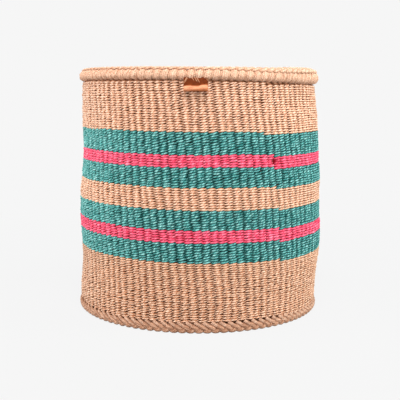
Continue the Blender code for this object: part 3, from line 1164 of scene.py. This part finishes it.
def tab():
    line = tab_line()
    section = rounded_section()
    ahead = unit(np.gradient(line, axis=0))
    facing = np.stack([-ahead[:, 1], ahead[:, 0]], axis=1)
    along = lengths_along(line)[:, None]
    share = along / along[-1]
    across = section[None, :, 0] / TAB_HALF_WIDTH
    wave = LEATHER_WAVE * np.sin(2.1 * across + 5 * share) * np.sin(7 * share + 1.3 * across)
    free = np.clip(3 * share - 1, 0, 1)
    wave = wave + LEATHER_RIPPLE * np.sin(9 * across + 11 * share) * free
    hollow = LEATHER_HOLLOW * (1 - across**2) * np.sin(pi * share) ** 2
    through = section[None, :, 1] + wave - hollow
    out = line[:, None, 0] + through * facing[:, None, 0]
    x = section[None, :, 0] * (1 + LEATHER_UNEVEN * np.sin(9 * share + across))
    up = line[:, None, 1] + through * facing[:, None, 1] + TAB_TILT * x
    points = np.stack([LIFT_AXIS.x + x, LIFT_AXIS.y - out, LIFT_AXIS.z + up], axis=-1)

    count, sides = out.shape
    here = np.arange(count - 1)[:, None] * sides
    there = here + sides
    j = np.arange(sides)[None, :]
    after = (j + 1) % sides
    quads = np.stack([here + j, here + after, there + after, there + j], axis=-1)
    faces = quads.reshape(-1, 4).tolist()
    faces.append(list(range(sides))[::-1])
    faces.append(list(range((count - 1) * sides, count * sides)))
    mesh = bpy.data.meshes.new("tab")
    mesh.from_pydata(points.reshape(-1, 3).tolist(), [], faces)
    mesh.update()
    mesh.shade_smooth()
    flat = np.stack([x, along + 0 * x, section[None, :, 1] + 0 * x], axis=-1)
    add_attribute(mesh, "flat", flat)
    add_attribute(mesh, "strip", share + 0 * x)
    mesh.materials.append(leather())
    piece = add_object("tab", mesh)
    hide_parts("tab_sewn_end", "tab_loop")
    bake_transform(piece)


def leather():
    """Vegetable-tanned leather, grained, tan at the front of the fold; dark at the sewn end from
    darker leather and painted shade, browner under the fold and dark on the back from painted shade.
    """
    material, tree, shader = new_material("tan_leather")
    flat = attribute(tree, "flat", "Vector")
    strip = attribute(tree, "strip")
    cloud = noise(tree, flat, *CLOUD)
    place = math_node(tree, "SUBTRACT", strip, BAND_WANDER / 2)
    across = add_node(tree, "ShaderNodeSeparateXYZ", i0=flat).outputs[0]
    side_bend = add_node(
        tree, "ShaderNodeMapRange", Value=math_node(tree, "ABSOLUTE", across),
        From_Min=BAND_BEND_ZONE[0], From_Max=BAND_BEND_ZONE[1], To_Min=BAND_BEND, To_Max=0.0,
    ).outputs["Result"]
    upper = math_node(tree, "LESS_THAN", strip, BAND_BEND_END)
    shifts = ((cloud, BAND_WANDER), (across, BAND_TILT), (side_bend, upper))
    place = weighted(tree, (place, 1.0), *shifts)
    # Along the strip: dark at the sewn end, darker leather and painted shade under the rim; tan at
    # the front of the fold; browner under the fold and dark on the back against the wall, painted
    # shade
    dark = linear(104, 44, 10)
    half_shaded_leather = linear(150, 82, 42)
    bright = linear(217, 149, 113)
    brown = linear(190, 118, 78)
    places = (0.0, 0.24, 0.28, 0.312, 0.42, 0.47, 0.57, 1.0)
    colours = (dark, dark, half_shaded_leather, bright, bright, brown, half_shaded_leather, dark)
    colour = ramp(tree, place, *zip(places, colours))
    grain = noise(tree, flat, *GRAIN)
    mottle = weighted(tree, (cloud, 0.5), (grain, 0.5))
    tints = ((0.38, (0.55, 0.42, 0.36)), (0.5, (0.9, 0.88, 0.86)), (0.62, (1.15, 1.15, 1.15)))
    colour = tinted(tree, colour, ramp(tree, mottle, *tints))
    height = weighted(tree, (grain, 0.4), (noise(tree, flat, *CREASES), 0.8))
    surfaced(tree, shader, colour, height, 0.5, 0.2 * MM)
    shader.inputs["Roughness"].default_value = 0.65
    shader.inputs["Specular IOR Level"].default_value = 0.08
    return material


def tab_stitches():
    tubes = []
    share = np.linspace(0, 1, STITCH_POINTS)
    # Painted shade at the stitches' edges
    look = (STITCH_ACROSS, STITCH_RADIUS, STITCH_RADIUS, strand_shade(0.0, 1.0))
    for start, end in TAB_STITCHES:
        x, z = ((a + (b - a) * share) * MM for a, b in zip(start, end))
        proud = STITCH_PROUD * np.sin(pi * share) ** 0.5
        back = SEWN_FACE + SEWN_FACE_LEAN * np.clip(z - SEWN_FACE_HEIGHT, 0, 1)
        points = np.stack([x, LIFT_AXIS.y + back - proud, z], axis=1)
        tubes.append(tube(points, *look, lay=STITCH_LAY))
    strand_piece("tab_stitches", tubes, "thread", "tab_thread")


# The stage

CAMERA_PLACE = (0.55 * MM, -650.5 * MM, 170 * MM)
CAMERA_PITCH = radians(7.08)
CAMERA_LENS = 67.0
CAMERA_SENSOR = 36
CAMERA_NEAR = 0.01

# Each lamp's place, the side of its square, its power in watts and its colour
LAMPS = {
    "key": ((0.1, -0.8, 1.45), 0.7, 22, WHITE),
    "front": ((0.0, -1.3, 0.55), 0.8, 11.5, WHITE),
    "left": ((-1.5, -0.3, 0.5), 1.1, 22.4, WHITE),
    "right": ((1.5, -0.3, 0.5), 0.9, 26.8, (0.93, 1, 1)),
    "back": ((0.4, 1.4, 1.2), 1.2, 10, WHITE),
}
LAMP_AIM = Vector((0, 0, 0.1))
SKY_LIGHT = (0.06, 0.06, 0.06)
BACKGROUND = linear(246, 246, 246)

# The floor glows in the background's colour: partly near the basket, evened out, and wholly from
# the fade's end on
FLOOR_RADIUS = 6.0
FLOOR_LEVEL = -0.2 * MM
FLOOR_COLOUR = (0.30, 0.30, 0.30, 1)
FLOOR_GLOW = 0.9
FLOOR_EVEN = 0.46
FLOOR_FADE_START = 0.12
FLOOR_FADE_END = 0.6


def camera():
    data = bpy.data.cameras.new("camera")
    data.lens = CAMERA_LENS
    data.sensor_width = CAMERA_SENSOR
    data.clip_start = CAMERA_NEAR
    eye = add_object("camera", data)
    eye.location = CAMERA_PLACE
    eye.rotation_euler = (pi / 2 - CAMERA_PITCH, 0, 0)
    bpy.context.scene.camera = eye


def lamps():
    """Soft square lamps that face the middle of the basket."""
    for name, (place, size, power, colour) in LAMPS.items():
        data = bpy.data.lights.new(name, "AREA")
        data.size = size
        data.energy = power
        data.color = colour
        light = add_object(name, data)
        light.location = place
        light.rotation_euler = (LAMP_AIM - light.location).to_track_quat("-Z", "Y").to_euler()


def seen_directly(tree):
    """1 for rays from the camera, from a mirror-like surface or through glass."""
    path = add_node(tree, "ShaderNodeLightPath").outputs
    direct = math_node(tree, "MAXIMUM", path["Is Camera Ray"], path["Is Glossy Ray"])
    return math_node(tree, "MAXIMUM", direct, path["Is Transmission Ray"])


def world():
    sky = bpy.data.worlds.new("studio")
    sky.use_nodes = True
    bpy.context.scene.world = sky
    tree = sky.node_tree
    colour = mixed(tree, seen_directly(tree), SKY_LIGHT, BACKGROUND)
    tree.links.new(colour, tree.nodes["Background"].inputs["Color"])


def floor():
    """A pale floor that keeps a faint shadow close to the basket and fades into the background."""
    bpy.ops.mesh.primitive_circle_add(vertices=96, radius=FLOOR_RADIUS, fill_type="NGON")
    ground = bpy.context.object
    ground.name = "floor"
    ground.location.z = FLOOR_LEVEL
    material, tree, shader = new_material("floor")
    shader.inputs["Base Color"].default_value = FLOOR_COLOUR
    shader.inputs["Roughness"].default_value = 0.9
    shader.inputs["Specular IOR Level"].default_value = 0.0
    glow = add_node(tree, "ShaderNodeEmission", Color=(*BACKGROUND, 1))
    place = add_node(tree, "ShaderNodeTexCoord").outputs["Object"]
    away = add_node(tree, "ShaderNodeVectorMath", {"operation": "LENGTH"}, i0=place)
    fade = add_node(
        tree, "ShaderNodeMapRange", Value=away.outputs["Value"],
        From_Min=FLOOR_FADE_START, From_Max=FLOOR_FADE_END, To_Min=FLOOR_GLOW, To_Max=1.0,
    ).outputs["Result"]
    strength = math_node(tree, "DIVIDE", 1.0, fade)
    evened = math_node(tree, "MULTIPLY_ADD", strength, FLOOR_EVEN, 1 - FLOOR_EVEN)
    tree.links.new(evened, glow.inputs["Strength"])
    share = math_node(tree, "MULTIPLY", fade, seen_directly(tree))
    shaders = {"i1": shader.outputs[0], "i2": glow.outputs[0]}
    mix = add_node(tree, "ShaderNodeMixShader", i0=share, **shaders)
    tree.links.new(mix.outputs[0], tree.nodes["Material Output"].inputs["Surface"])
    ground.data.materials.append(material)


camera()
wall()
warps()
rim_wrap()
rim_plait()
foot()
base()
tab()
tab_stitches()
lamps()
world()
floor()

bpy.context.scene.view_settings.view_transform = "Standard"
